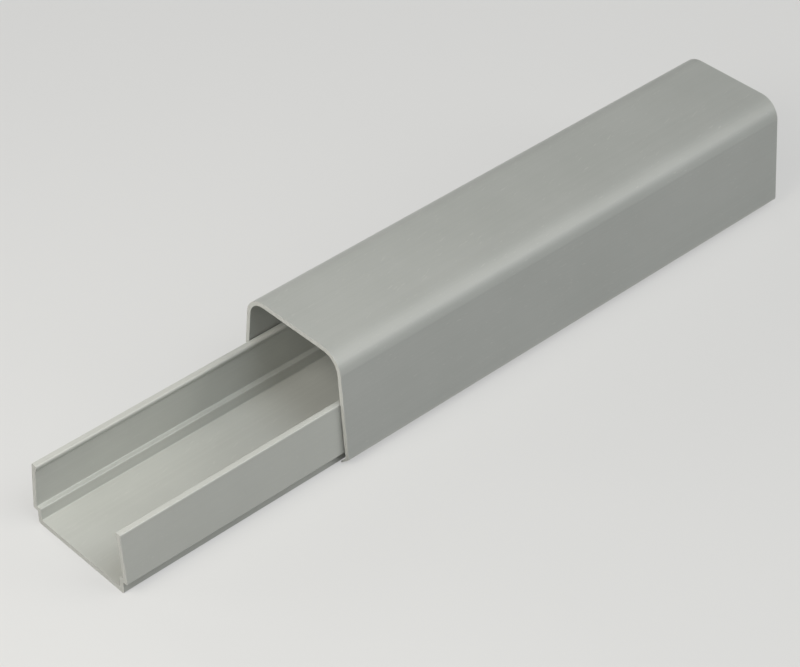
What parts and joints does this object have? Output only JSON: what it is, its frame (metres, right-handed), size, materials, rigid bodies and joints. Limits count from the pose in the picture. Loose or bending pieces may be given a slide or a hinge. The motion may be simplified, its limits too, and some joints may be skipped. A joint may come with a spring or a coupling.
{
  "type": "cable raceway",
  "caption": "Straight cable raceway: a shallow channel with stepped side walls, and a deep trapezoid cover with rounded shoulders slid part of the way along it.",
  "frame": {"origin": "middle of the base channel's underside, on the surface that the raceway is fixed to", "axes": "+Z out from that surface, Y along the raceway with +Y the way the cover is slid, X across it"},
  "size_m": [0.05, 0.2869, 0.0423],
  "materials": {
    "rigid_pvc": "satin"
  },
  "bodies": {
    "base": {"base_channel": "rigid_pvc"},
    "cover": {"cover": "rigid_pvc"}
  },
  "joints": [
    {"name": "cover_slide", "type": "slide", "parent": "base", "child": "cover", "axis": [0, 1, 0], "range_m": [-0.0847, 0.0847]}
  ]
}
